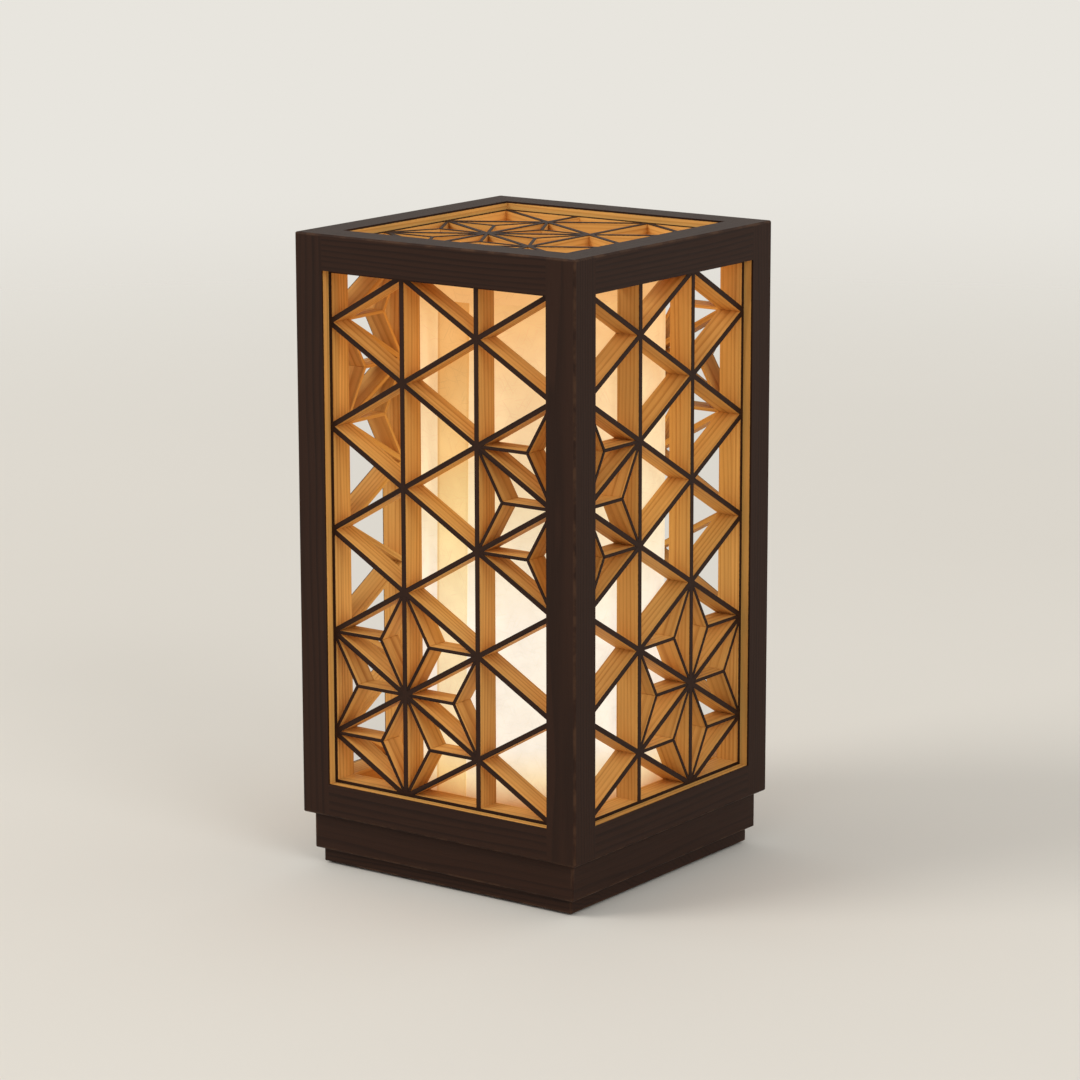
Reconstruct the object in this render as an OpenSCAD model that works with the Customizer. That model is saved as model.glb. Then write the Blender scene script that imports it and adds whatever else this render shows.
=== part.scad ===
// Kumiko table lamp. A square lattice lantern stands on a stepped plinth, over a paper tube and a
// small screw bulb, and lifts straight off. The front is -Y and the origin is under the middle.

/* [Lantern frame] */
// Width and depth over the posts
lantern_w = 160; // [150:1:190]
// Side of a corner post
post_w = 16; // [14:0.5:20]
// Height of a top rail
top_rail_h = 17; // [16:0.5:24]
// Height of a bottom rail
bottom_rail_h = 16; // [12:0.5:24]
// Chamfer along the frame's outer edges
frame_chamfer = 0.8; // [0.4:0.1:1.5]
// Thickness of a rail's stub tenon
tenon_t = 6; // [4:0.5:8]
// Shoulder above and below a tenon
tenon_shoulder = 3; // [2:0.5:4]
// Wood left between the two tenons in a post
tenon_web = 0.5; // [0.3:0.1:1.5]

/* [Kumiko panels] */
// Columns of triangles across a side
columns = 3; // [3:1:4]
// Triangles one above the other in a column
levels = 5; // [4:1:6]
// Thickness of a lattice bar
bar_t = 2.4; // [1.8:0.1:3]
// Depth of a side panel's bars
side_bar_d = 12.3; // [9:0.3:13.2]
// How far a side panel lies behind the frame's face
side_recess = 5; // [4:0.5:6]
// Depth of the top panel's bars
top_bar_d = 10; // [6:0.5:11]
// How far the top panel lies below the frame's top
top_recess = 4; // [2:0.5:5]
// Thickness of the strips round a panel
strip_t = 1.5; // [1.2:0.1:2.4]
// Thickness of a leaf in the hemp leaf pattern
leaf_t = 1.6; // [1:0.1:2.2]
// Glue line between leaves, and between strips
glue_line = 0.05; // [0.03:0.01:0.1]

/* [Plinth] */
// Height of the plinth
plinth_h = 18; // [16:0.5:26]
// How far the plinth is set back under the lantern
plinth_inset = 4; // [2:0.5:7]
// Height of the foot board
foot_h = 7; // [5:0.5:12]
// How far the foot is set back under the plinth
foot_inset = 3; // [2:0.5:6]
// Chamfer round the plinth and the foot
base_chamfer = 0.6; // [0.3:0.1:1]
// Thickness of a felt pad
pad_h = 1; // [0.8:0.1:2]
// Diameter of a felt pad
pad_d = 12; // [8:1:16]
// Pad centre from the foot's edges
pad_inset = 13; // [10:1:20]
// Width of the mitred battens round the wiring pocket
pocket_wall = 16; // [14:0.5:22]
// Thickness of the panel let in between the battens, above the wiring pocket
pocket_roof = 5; // [4.5:0.5:5.5]
// Height of the board that locates the lantern
locator_h = 6; // [5:0.5:10]
// Gap round the locating board
lift_gap = 0.4; // [0.3:0.1:0.8]

/* [Paper tube] */
// Gap between the paper tube and the side panels
tube_gap = 1.5; // [0.9:0.1:6]
// Space between the paper tube and the top panel
tube_headroom = 14.3; // [4:0.1:120]
// Thickness of the paper
paper_t = 0.5; // [0.3:0.1:0.6]
// Width of the glued lap
lap_w = 17.5; // [8:0.5:25]
// Where the middle of the lap lies round the tube
lap_angle = -95; // [-180:1:180]
// Height of the collar that the tube stands round
collar_h = 10; // [6:0.5:16]
// Wall of the collar
collar_t = 5; // [3:0.5:8]
// Gap between the collar and the paper
collar_gap = 0.3; // [0.2:0.05:0.5]

/* [Lamp holder] */
// Height of the holder's flange
flange_h = 4; // [3.5:0.5:6]
// Flange left outside the screw heads
flange_rim = 1; // [0.5:0.5:4]
// Diameter of the holder's barrel
barrel_d = 27; // [24:0.5:30]
// Thickness of the holder's floor
holder_floor = 6; // [5:0.5:8]
// Inner diameter of the brass screw shell
shell_d = 17.2; // [14:0.1:20]
// Wall of the brass screw shell
shell_t = 0.6; // [0.4:0.1:1]
// Height of the brass screw shell
shell_h = 18; // [16:0.5:19]
// Diameter of the hole for the leads
lead_hole_d = 22; // [18:0.5:24]

/* [Bulb] */
// Diameter of the bulb
bulb_d = 35; // [30:0.5:45]
// Height of the taper between the cap and the globe
taper_h = 15; // [10:0.5:30]
// Wall of the bulb's glass
glass_t = 0.8; // [0.5:0.1:1.2]
// Gap between the bulb's cap and the screw shell
thread_gap = 0.08; // [0.03:0.01:0.1]
// Length of the bulb's cap
cap_l = 16; // [15:0.5:18]

/* [Screws] */
// Diameter of a holder screw
holder_screw_d = 3; // [2.5:0.1:3.5]
// Length of a holder screw's shank
holder_screw_l = 14; // [11:0.5:14.5]
// Gap between the barrel and a holder screw's head
holder_screw_gap = 0.3; // [0.2:0.1:2]
// Diameter of a foot screw
foot_screw_d = 3.2; // [2.5:0.1:4]
// How far a foot screw goes into the plinth
foot_screw_grip = 9; // [6:0.5:14]
// Distance between the foot screws along an edge
foot_screw_pitch = 80; // [50:1:90]

/* [Cable grommet] */
// Bore of the grommet
grommet_bore = 6.4; // [5:0.1:7]
// Diameter of the grommet in the plinth
grommet_d = 9; // [8:0.1:10.5]
// How far the grommet's lip stands out inside the plinth
grommet_lip = 0.5; // [0.3:0.1:1]
// Length of the grommet's lip
grommet_lip_l = 1.5; // [1:0.1:2]
// Diameter of the grommet's flange
grommet_flange_d = 12; // [11:0.5:13]
// Thickness of the grommet's flange
grommet_flange_t = 2; // [1:0.1:2]

/* [Hidden] */
$fn = 96;

dark_wood = [0.10, 0.06, 0.04];
light_wood = [0.80, 0.60, 0.36];
paper_white = [0.96, 0.90, 0.76];
brass = [0.80, 0.62, 0.30];
steel = [0.70, 0.70, 0.72];
porcelain = [0.93, 0.92, 0.88];
glass_clear = [0.85, 0.92, 0.95, 0.4];
black_rubber = [0.08, 0.08, 0.08];
brown_felt = [0.30, 0.28, 0.26];

// A side's turn from the front, and a slanted bar's slope
front_angle = 0;
right_angle = 90;
back_angle = 180;
left_angle = 270;
falling_angle = -30;
rising_angle = 30;
eps = 0.01;

// The lantern's opening sets the lattice pitch, and the pitch sets the lantern's height
half_w = lantern_w / 2;
open_w = lantern_w - 2 * post_w;
pitch = open_w / (columns * sin(60));
open_h = levels * pitch;
lantern_h = bottom_rail_h + open_h + top_rail_h;
tenon_l = (post_w - tenon_t) / 2 - tenon_web;

// Heights above the table
foot_z = pad_h;
plinth_z = foot_z + foot_h;
lantern_z = plinth_z + plinth_h;
open_z = lantern_z + bottom_rail_h;
stand_z = lantern_z + locator_h;
top_panel_z = lantern_z + lantern_h - top_recess - top_bar_d;

// Distance from the lamp's axis to the back of a side panel
side_back = half_w - side_recess - side_bar_d;

// What each entry of a grid holds: the lattice's size, its pitch, how many pitches it is high, 1 if
// its first column starts a half pitch lower, and the clear size between the strips
GRID_W = 0;
GRID_H = 1;
PITCH = 2;
ROWS = 3;
PHASE = 4;
CLEAR_W = 5;
CLEAR_H = 6;

// A side lattice's edge lines lie on the opening's edges, the top lattice's on its strips
top_clear = open_w - 2 * strip_t;
top_pitch = top_clear / (columns * sin(60));
side_grid = [open_w, open_h, pitch, levels, 0, open_w - 2 * strip_t, open_h - 2 * strip_t];
top_grid = [top_clear, top_clear, top_pitch, top_clear / top_pitch, 1, top_clear, top_clear];

// A slanted bar that would cross less than this share of a column is left out
shortest_run = 0.15;

// Plinth
plinth_w = lantern_w - 2 * plinth_inset;
foot_w = plinth_w - 2 * foot_inset;
pocket_w = plinth_w - 2 * pocket_wall;
pocket_h = plinth_h - pocket_roof;
locator_w = open_w - 2 * lift_gap;

// Foot screws, halfway between the wiring pocket and the foot's edge
foot_screw_y = (pocket_w + foot_w) / 4;
foot_screw_l = foot_h + foot_screw_grip;
foot_head_d = 2 * foot_screw_d;
foot_head_h = (foot_head_d - foot_screw_d) / 2;

// Holder screws, as close to the barrel as their heads allow
holder_head_d = 2 * holder_screw_d;
holder_head_top_d = 1.4 * holder_screw_d;
holder_head_h = 2;
holder_screw_pitch = barrel_d + holder_head_d + 2 * holder_screw_gap;
flange_d = holder_screw_pitch + holder_head_d + 2 * flange_rim;
slot_w = 0.8;
slot_depth = 1.1;

// Paper tube
tube_d = 2 * (side_back - tube_gap);
tube_h = top_panel_z - tube_headroom - stand_z;
collar_d = tube_d - 2 * paper_t - 2 * collar_gap;

// Holder contact and terminals
barrel_bore = shell_d + 2 * shell_t;
contact_d = 7;
contact_h = 0.6;
rivet_d = 3;
terminal_size = [5, 7, 4];
terminal_x = 5.5;
terminal_hole_d = 2;

// Bulb, from its contact upwards. The barrel ends level with the cap.
contact_gap = 0.2;
tip_d = 5;
tip_end_d = 3.5;
tip_h = 1.2;
insulator_d = 7;
insulator_h = 3;
neck_seat = 2;
cap_t = 0.4;
shoulder_gap = 0.5;
join_angle = 30;
bulb_z = stand_z + holder_floor + contact_h + contact_gap;
cap_z = bulb_z + tip_h + insulator_h;
cap_d = shell_d - 2 * thread_gap;
holder_h = cap_z + cap_l - stand_z;
neck_d = cap_d - 2 * cap_t;
neck_z = cap_z + neck_seat;
shoulder_z = cap_z + cap_l + shoulder_gap;
globe_r = bulb_d / 2;
join_r = globe_r * cos(join_angle);
globe_z = shoulder_z + taper_h + globe_r * sin(join_angle);

// Stem and filament
stem_base_h = 1.5;
stem_d = 4;
stem_h = 18;
stem_top = neck_z + stem_h;
wire_d = 0.6;
lead_x = 1;
filament_r = 6;
filament_drop = 3;
filament_z = globe_z - filament_drop;

// Cable grommet, in the back batten
grommet_z = plinth_z + pocket_h / 2;

// A box with chamfered edges, standing on z = 0
module chamfered_box(size, c) {
    intersection() {
        linear_extrude(size.z) chamfered_square([size.x, size.y], c);
        translate([0, size.y / 2, size.z / 2]) rotate([90, 0, 0])
            linear_extrude(size.y) chamfered_square([size.x, size.z], c);
        translate([-size.x / 2, 0, size.z / 2]) rotate([90, 0, 90])
            linear_extrude(size.x) chamfered_square([size.y, size.z], c);
    }
}

module chamfered_square(size, c) {
    x = size.x / 2;
    y = size.y / 2;
    polygon([
        [c - x, -y], [x - c, -y], [x, c - y], [x, y - c],
        [x - c, y], [c - x, y], [-x, y - c], [-x, c - y]
    ]);
}

module tube(outer_d, inner_d, h) {
    difference() {
        cylinder(d = outer_d, h = h);
        bore(inner_d, -eps, h + eps);
    }
}

// What is cut away for a round hole on the z axis, between two heights
module bore(d, low, high) {
    translate([0, 0, low]) cylinder(d = d, h = high - low);
}

module lantern_envelope() {
    translate([0, 0, lantern_z]) chamfered_box([lantern_w, lantern_w, lantern_h], frame_chamfer);
}

// A rail's two stub tenons on the front side, as one board through the rail. A post's mortises take
// their shape from it.
module front_tenons(z, h) {
    translate([0, (post_w - lantern_w) / 2, z + h / 2])
        cube([open_w + 2 * tenon_l, tenon_t, h - 2 * tenon_shoulder], center = true);
}

module rail(side, z, h) {
    color(dark_wood) rotate(side) {
        intersection() {
            translate([-open_w / 2, -half_w, z]) cube([open_w, post_w, h]);
            lantern_envelope();
        }
        front_tenons(z, h);
    }
}

// A post is named by the side whose right-hand end it stands at
module post(side) {
    color(dark_wood) rotate(side) difference() {
        intersection() {
            translate([open_w / 2, -half_w, lantern_z]) cube([post_w, post_w, lantern_h]);
            lantern_envelope();
        }
        for (turn = [0, 90]) rotate(turn) {
            front_tenons(lantern_z, bottom_rail_h);
            front_tenons(open_z + open_h, top_rail_h);
        }
    }
}

// A lattice node lies at column c, counted from the left, and level l, counted down from the top
function half_level(g, c) = (c + g[PHASE]) % 2 == 0 ? 0.5 : 0;
function node_xy(g, c, l) = [c * g[GRID_W] / columns - g[GRID_W] / 2, g[GRID_H] / 2 - l * g[PITCH]];

// The columns at which a slanted bar that starts at level l of the left edge enters and leaves
function run_start(g, l, slope) = slope == falling_angle ? max(0, -2 * l) : max(0, 2 * (l - g[ROWS]));
function run_end(g, l, slope) = min(columns, slope == falling_angle ? 2 * (g[ROWS] - l) : 2 * l);

module clear_area(g) {
    square([g[CLEAR_W], g[CLEAR_H]], center = true);
}

module upright_lines(g) {
    for (c = [1 : columns - 1])
        translate([node_xy(g, c, 0).x, 0]) square([bar_t, g[CLEAR_H]], center = true);
}

module slanted_lines(g, slope) {
    intersection() {
        clear_area(g);
        for (j = [-columns : ceil(g[ROWS]) + columns]) {
            l = half_level(g, 0) + j;
            if (run_end(g, l, slope) - run_start(g, l, slope) > shortest_run)
                translate(node_xy(g, 0, l)) rotate(slope)
                    translate([-bar_t, -bar_t / 2]) square([g[GRID_W] / cos(30) + 2 * bar_t, bar_t]);
        }
    }
}

// A third of the panel's depth, counted from the back and rounded so that the thirds share faces
function third_z(depth, number) = number == 3 ? depth : number * round(1000 * depth / 3) / 1000;

module third(depth, number) {
    translate([0, 0, third_z(depth, number)])
        linear_extrude(third_z(depth, number + 1) - third_z(depth, number)) children();
}

// Where three bars cross, each runs through in its own third of the depth and is notched in the
// others, so that they meet face to face.
module straight_bars(g, depth) {
    third(depth, 2) upright_lines(g);
    third(depth, 1) difference() {
        upright_lines(g);
        slanted_lines(g, rising_angle);
    }
    third(depth, 0) difference() {
        upright_lines(g);
        slanted_lines(g, falling_angle);
    }
}

module rising_bars(g, depth) {
    third(depth, 2) difference() {
        slanted_lines(g, rising_angle);
        upright_lines(g);
    }
    third(depth, 1) slanted_lines(g, rising_angle);
    third(depth, 0) difference() {
        slanted_lines(g, rising_angle);
        slanted_lines(g, falling_angle);
        upright_lines(g);
    }
}

module falling_bars(g, depth) {
    for (number = [1, 2]) third(depth, number) difference() {
        slanted_lines(g, falling_angle);
        slanted_lines(g, rising_angle);
        upright_lines(g);
    }
    third(depth, 0) slanted_lines(g, falling_angle);
}

module strips(g, depth) {
    for (end = [-1, 1]) {
        translate([end * (g[CLEAR_W] + strip_t) / 2, 0, depth / 2])
            cube([strip_t, g[CLEAR_H] + 2 * strip_t, depth], center = true);
        translate([0, end * (g[CLEAR_H] + strip_t) / 2, depth / 2])
            cube([g[CLEAR_W] - 2 * glue_line, strip_t, depth], center = true);
    }
}

// One leaf, from the middle of a triangle out to the corner between two bars
module leaf(g) {
    a = leaf_t / 2;
    tip = g[PITCH] / sqrt(3) - bar_t;
    heel = glue_line + a / tan(60);
    shoulder = tip - a / tan(30);
    polygon([[glue_line, 0], [heel, -a], [shoulder, -a], [tip, 0], [shoulder, a], [heel, a]]);
}

// Three leaves in each triangle round a node, a triangle being given by its direction from there
module star(g, c, l, directions) {
    for (direction = directions)
        translate(node_xy(g, c, l + half_level(g, c))) rotate(direction)
            translate([g[PITCH] / sqrt(3), 0])
                for (turn = [60, 180, 300]) rotate(turn) leaf(g);
}

// A whole star at the first upright and a half star at the panel's far edge
module side_leaves(whole_l, half_l) {
    linear_extrude(side_bar_d) intersection() {
        clear_area(side_grid);
        union() {
            star(side_grid, 1, whole_l, [0 : 60 : 300]);
            star(side_grid, columns, half_l, [120 : 60 : 240]);
        }
    }
}

// The front and right sides have their whole star low
module low_star_leaves() {
    side_leaves(levels - 1, 2);
}

// The back and left sides are the same design turned upside down
module high_star_leaves() {
    side_leaves(1, levels - 2);
}

module top_star_leaves() {
    linear_extrude(top_bar_d) star(top_grid, 1, 1, [0 : 60 : 300]);
}

// The space of a side panel. Panels that reach in past the posts meet in a mitre.
module side_panel_space() {
    margin = 1;
    back_x = side_back - glue_line - margin;
    front_x = side_back - glue_line + side_bar_d + margin;
    rotate([90, 0, 0]) linear_extrude(open_h + 2 * margin, center = true) polygon([
        [-back_x, -margin], [back_x, -margin],
        [front_x, side_bar_d + margin], [-front_x, side_bar_d + margin]
    ]);
}

// The sides are mirror images in turn, so that the lattice lines meet at the posts
module on_side(side) {
    color(light_wood) rotate(side) mirror([side % 180, 0, 0])
        translate([0, -side_back, open_z + open_h / 2]) rotate([90, 0, 0]) intersection() {
            children();
            side_panel_space();
        }
}

module on_top() {
    color(light_wood) translate([0, 0, top_panel_z]) children();
}

// One of the four battens of the plinth, which meet in mitres
module batten(side) {
    outer = plinth_w / 2;
    inner = pocket_w / 2;
    intersection() {
        translate([0, 0, plinth_z]) chamfered_box([plinth_w, plinth_w, plinth_h], base_chamfer);
        rotate(side) translate([0, 0, plinth_z]) linear_extrude(plinth_h)
            polygon([[-outer, -outer], [outer, -outer], [inner, -inner], [-inner, -inner]]);
    }
}

module plinth_front_batten() {
    color(dark_wood) difference() {
        batten(front_angle);
        foot_screw_shanks();
    }
}

module plinth_back_batten() {
    color(dark_wood) difference() {
        batten(back_angle);
        foot_screw_shanks();
        translate([0, pocket_w / 2, grommet_z]) rotate([-90, 0, 0])
            bore(grommet_d, -eps, pocket_wall + eps);
    }
}

module plinth_side_battens() {
    color(dark_wood) for (side = [right_angle, left_angle]) batten(side);
}

// The panel is let in between the battens, level with their top
module plinth_panel() {
    color(light_wood) difference() {
        translate([-pocket_w / 2, -pocket_w / 2, plinth_z + pocket_h])
            cube([pocket_w, pocket_w, pocket_roof]);
        bore(lead_hole_d, plinth_z + pocket_h - eps, lantern_z + eps);
        holder_screw_shanks();
    }
}

module foot_board() {
    color(dark_wood) difference() {
        translate([0, 0, foot_z]) chamfered_box([foot_w, foot_w, foot_h], base_chamfer);
        foot_screw_shanks();
        foot_screw_heads();
    }
}

module at_foot_screws() {
    for (x = [-1, 1], y = [-1, 1])
        translate([x * foot_screw_pitch / 2, y * foot_screw_y, foot_z]) children();
}

module foot_screw_shanks() {
    at_foot_screws() cylinder(d = foot_screw_d, h = foot_screw_l);
}

module foot_screw_heads() {
    at_foot_screws() cylinder(d1 = foot_head_d, d2 = foot_screw_d, h = foot_head_h);
}

module foot_screws() {
    color(steel) difference() {
        union() {
            foot_screw_shanks();
            foot_screw_heads();
        }
        at_foot_screws() cross_slot(foot_head_d / 2);
    }
}

// A cross recess that opens downwards
module cross_slot(length) {
    for (turn = [0, 90]) rotate(turn)
        translate([-length / 2, -slot_w / 2, -eps]) cube([length, slot_w, slot_depth + eps]);
}

module felt_pads() {
    color(brown_felt) for (x = [-1, 1], y = [-1, 1])
        translate([x, y, 0] * (foot_w / 2 - pad_inset)) cylinder(d = pad_d, h = pad_h);
}

module locating_board() {
    color(light_wood) difference() {
        translate([-locator_w / 2, -locator_w / 2, lantern_z]) cube([locator_w, locator_w, locator_h]);
        bore(lead_hole_d, lantern_z - eps, stand_z + eps);
        holder_screw_shanks();
    }
}

module cable_grommet() {
    color(black_rubber) translate([0, pocket_w / 2, grommet_z]) rotate([-90, 0, 0]) difference() {
        union() {
            bore(grommet_d, 0, pocket_wall);
            bore(grommet_d + 2 * grommet_lip, -grommet_lip_l, 0);
            bore(grommet_flange_d, pocket_wall, pocket_wall + grommet_flange_t);
        }
        bore(grommet_bore, -grommet_lip_l - eps, pocket_wall + grommet_flange_t + eps);
    }
}

module tube_collar() {
    color(light_wood) translate([0, 0, stand_z]) tube(collar_d, collar_d - 2 * collar_t, collar_h);
}

// The lap is a second layer of paper, which starts inside the first so that the two are one solid
module paper_tube() {
    lap_turn = lap_w / (PI * tube_d) * 360;
    color(paper_white) translate([0, 0, stand_z]) {
        tube(tube_d, tube_d - 2 * paper_t, tube_h);
        rotate(lap_angle - lap_turn / 2) rotate_extrude(angle = lap_turn)
            translate([(tube_d - paper_t) / 2, 0]) square([1.5 * paper_t, tube_h]);
    }
}

module at_holder_screws() {
    for (x = [-1, 1]) translate([x * holder_screw_pitch / 2, 0, stand_z + flange_h]) children();
}

module holder_screw_shanks() {
    at_holder_screws() bore(holder_screw_d, -holder_screw_l, 0);
}

module holder_screws() {
    color(steel) {
        holder_screw_shanks();
        at_holder_screws() difference() {
            cylinder(d1 = holder_head_d, d2 = holder_head_top_d, h = holder_head_h);
            translate([0, 0, holder_head_h]) mirror([0, 0, 1]) cross_slot(holder_head_d / 2);
        }
    }
}

module holder_body() {
    color(porcelain) difference() {
        translate([0, 0, stand_z]) {
            cylinder(d = flange_d, h = flange_h);
            cylinder(d = barrel_d, h = holder_h);
        }
        bore(barrel_bore, stand_z + holder_floor, stand_z + holder_h + eps);
        bore(rivet_d, stand_z - eps, stand_z + holder_floor + eps);
        holder_screw_shanks();
    }
}

module holder_shell() {
    color(brass) translate([0, 0, stand_z + holder_floor]) tube(barrel_bore, shell_d, shell_h);
}

module holder_contact() {
    color(brass) translate([0, 0, stand_z]) {
        cylinder(d = rivet_d, h = holder_floor);
        translate([0, 0, holder_floor]) cylinder(d = contact_d, h = contact_h);
    }
}

module holder_terminals() {
    color(brass) for (x = [-1, 1])
        translate([x * terminal_x, 0, stand_z - terminal_size.z / 2]) difference() {
            cube(terminal_size, center = true);
            rotate([90, 0, 0]) bore(terminal_hole_d, -terminal_size.y / 2 - eps, terminal_size.y / 2 + eps);
        }
}

// The globe, its taper and the neck inside the cap, drawn in by wall for the space inside the glass
module bulb_outline(wall) {
    translate([0, 0, globe_z]) sphere(r = globe_r - wall);
    translate([0, 0, shoulder_z]) cylinder(r1 = neck_d / 2 - wall, r2 = join_r - wall, h = taper_h);
    bore(neck_d - 2 * wall, neck_z - (wall > 0 ? eps : 0), shoulder_z + eps);
}

module bulb_glass() {
    color(glass_clear) difference() {
        bulb_outline(0);
        bulb_outline(glass_t);
    }
}

module bulb_cap() {
    color(brass) translate([0, 0, cap_z]) tube(cap_d, neck_d, cap_l);
}

module bulb_insulator() {
    color(black_rubber) {
        translate([0, 0, bulb_z + tip_h]) cylinder(d1 = insulator_d, d2 = neck_d, h = insulator_h);
        bore(neck_d, cap_z, neck_z);
    }
}

module bulb_contact() {
    color(brass) translate([0, 0, bulb_z]) cylinder(d1 = tip_end_d, d2 = tip_d, h = tip_h);
}

module bulb_stem() {
    color(glass_clear) {
        bore(neck_d - 2 * glass_t - 2 * glue_line, neck_z, neck_z + stem_base_h);
        bore(stem_d, neck_z, stem_top);
    }
}

// Two leads lean out from the stem's top to the ends of an open filament loop
module bulb_filament() {
    rise = filament_z - stem_top;
    lean = atan((filament_r - lead_x) / rise);
    foot = wire_d / 2 * sin(lean);
    color(steel) {
        for (x = [-1, 1]) translate([x * lead_x, 0, stem_top + foot]) rotate([0, x * lean, 0])
            cylinder(d = wire_d, h = (rise - foot) / cos(lean));
        translate([0, 0, filament_z]) rotate_extrude(angle = 180)
            translate([filament_r, 0]) circle(d = wire_d, $fn = 16);
    }
}

post(front_angle);  // front_right_post
post(right_angle);  // back_right_post
post(back_angle);  // back_left_post
post(left_angle);  // front_left_post
rail(front_angle, open_z + open_h, top_rail_h);  // front_top_rail
rail(right_angle, open_z + open_h, top_rail_h);  // right_top_rail
rail(back_angle, open_z + open_h, top_rail_h);  // back_top_rail
rail(left_angle, open_z + open_h, top_rail_h);  // left_top_rail
rail(front_angle, lantern_z, bottom_rail_h);  // front_bottom_rail
rail(right_angle, lantern_z, bottom_rail_h);  // right_bottom_rail
rail(back_angle, lantern_z, bottom_rail_h);  // back_bottom_rail
rail(left_angle, lantern_z, bottom_rail_h);  // left_bottom_rail
on_side(front_angle) strips(side_grid, side_bar_d);  // front_panel_strips
on_side(right_angle) strips(side_grid, side_bar_d);  // right_panel_strips
on_side(back_angle) strips(side_grid, side_bar_d);  // back_panel_strips
on_side(left_angle) strips(side_grid, side_bar_d);  // left_panel_strips
on_side(front_angle) straight_bars(side_grid, side_bar_d);  // front_uprights
on_side(right_angle) straight_bars(side_grid, side_bar_d);  // right_uprights
on_side(back_angle) straight_bars(side_grid, side_bar_d);  // back_uprights
on_side(left_angle) straight_bars(side_grid, side_bar_d);  // left_uprights
on_side(front_angle) rising_bars(side_grid, side_bar_d);  // front_rising_bars
on_side(right_angle) rising_bars(side_grid, side_bar_d);  // right_rising_bars
on_side(back_angle) rising_bars(side_grid, side_bar_d);  // back_rising_bars
on_side(left_angle) rising_bars(side_grid, side_bar_d);  // left_rising_bars
on_side(front_angle) falling_bars(side_grid, side_bar_d);  // front_falling_bars
on_side(right_angle) falling_bars(side_grid, side_bar_d);  // right_falling_bars
on_side(back_angle) falling_bars(side_grid, side_bar_d);  // back_falling_bars
on_side(left_angle) falling_bars(side_grid, side_bar_d);  // left_falling_bars
on_side(front_angle) low_star_leaves();  // front_leaves
on_side(right_angle) low_star_leaves();  // right_leaves
on_side(back_angle) high_star_leaves();  // back_leaves
on_side(left_angle) high_star_leaves();  // left_leaves
on_top() strips(top_grid, top_bar_d);  // top_panel_strips
on_top() straight_bars(top_grid, top_bar_d);  // top_straight_bars
on_top() rising_bars(top_grid, top_bar_d);  // top_rising_bars
on_top() falling_bars(top_grid, top_bar_d);  // top_falling_bars
on_top() top_star_leaves();  // top_leaves
plinth_front_batten();
plinth_back_batten();
plinth_side_battens();
plinth_panel();
foot_board();
foot_screws();
felt_pads();
locating_board();
cable_grommet();
tube_collar();
paper_tube();
holder_body();
holder_shell();
holder_contact();
holder_terminals();
holder_screws();
bulb_glass();
bulb_cap();
bulb_insulator();
bulb_contact();
bulb_stem();
bulb_filament();
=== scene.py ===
"""Kumiko table lamp: the finishes of its wood, its hemp leaves, its paper tube and its small fittings."""
from math import atan2, cos, hypot, pi, radians, sin, sqrt, tan

import bpy
from bpy.props import FloatProperty, FloatVectorProperty, IntProperty, PointerProperty
from bpy.types import Operator, Panel, PropertyGroup
from mathutils import Matrix, Vector


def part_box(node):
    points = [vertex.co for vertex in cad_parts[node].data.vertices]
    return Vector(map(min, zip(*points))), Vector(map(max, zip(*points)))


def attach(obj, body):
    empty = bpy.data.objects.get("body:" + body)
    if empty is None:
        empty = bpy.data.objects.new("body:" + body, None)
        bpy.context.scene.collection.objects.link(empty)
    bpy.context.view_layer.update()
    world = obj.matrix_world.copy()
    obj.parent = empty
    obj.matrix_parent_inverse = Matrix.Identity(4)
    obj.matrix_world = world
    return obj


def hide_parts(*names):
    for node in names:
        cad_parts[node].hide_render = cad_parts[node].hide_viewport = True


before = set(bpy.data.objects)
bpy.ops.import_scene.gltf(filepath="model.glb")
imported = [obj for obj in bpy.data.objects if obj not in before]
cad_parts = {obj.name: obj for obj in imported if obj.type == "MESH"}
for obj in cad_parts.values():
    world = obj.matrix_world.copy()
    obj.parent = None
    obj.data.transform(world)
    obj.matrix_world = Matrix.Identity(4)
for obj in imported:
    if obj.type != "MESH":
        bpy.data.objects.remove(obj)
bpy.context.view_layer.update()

bl_info = {
    "name": "Kumiko table lamp",
    "version": (1, 0, 0),
    "blender": (4, 5, 0),
    "location": "3D View > Sidebar > Kumiko lamp",
    "description": "Finishes the wood of a kumiko table lamp and makes its leaves, paper tube and fittings",
    "category": "Object",
}

MM = 0.001

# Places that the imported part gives, in metres
FRAME_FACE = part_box("front_right_post")[1].x
FRAME_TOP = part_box("front_right_post")[1].z
FRAME_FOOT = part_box("front_bottom_rail")[0].z
OPENING_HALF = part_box("front_right_post")[0].x
OPENING_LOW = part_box("front_bottom_rail")[1].z
OPENING_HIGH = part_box("front_top_rail")[0].z
PANEL_FACE = -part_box("front_panel_strips")[0].y
PANEL_BACK = -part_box("front_panel_strips")[1].y
TOP_PANEL_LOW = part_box("top_panel_strips")[0].z
TOP_PANEL_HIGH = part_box("top_panel_strips")[1].z
TOP_PANEL_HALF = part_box("top_falling_bars")[1].x

# Each side with its turn from the front, in degrees
SIDES = {"front": 0, "right": 90, "back": 180, "left": 270}

ACROSS = Vector((1, 0, 0))
DEEP = Vector((0, 1, 0))
FRONT = Vector((0, -1, 0))
UP = Vector((0, 0, 1))


def screen(red, green, blue):
    """A colour as the screen shows it, from 0 to 255, turned into the linear one that materials take."""
    shares = [value / 255 for value in (red, green, blue)]
    return tuple(s / 12.92 if s <= 0.04045 else ((s + 0.055) / 1.055) ** 2.4 for s in shares)


def darker(colour, share):
    return [share * part for part in colour]


def size_property(name, description, default_mm):
    return FloatProperty(name=name, description=description, default=default_mm * MM,
                         min=0, precision=5, subtype="DISTANCE", unit="LENGTH")


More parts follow.
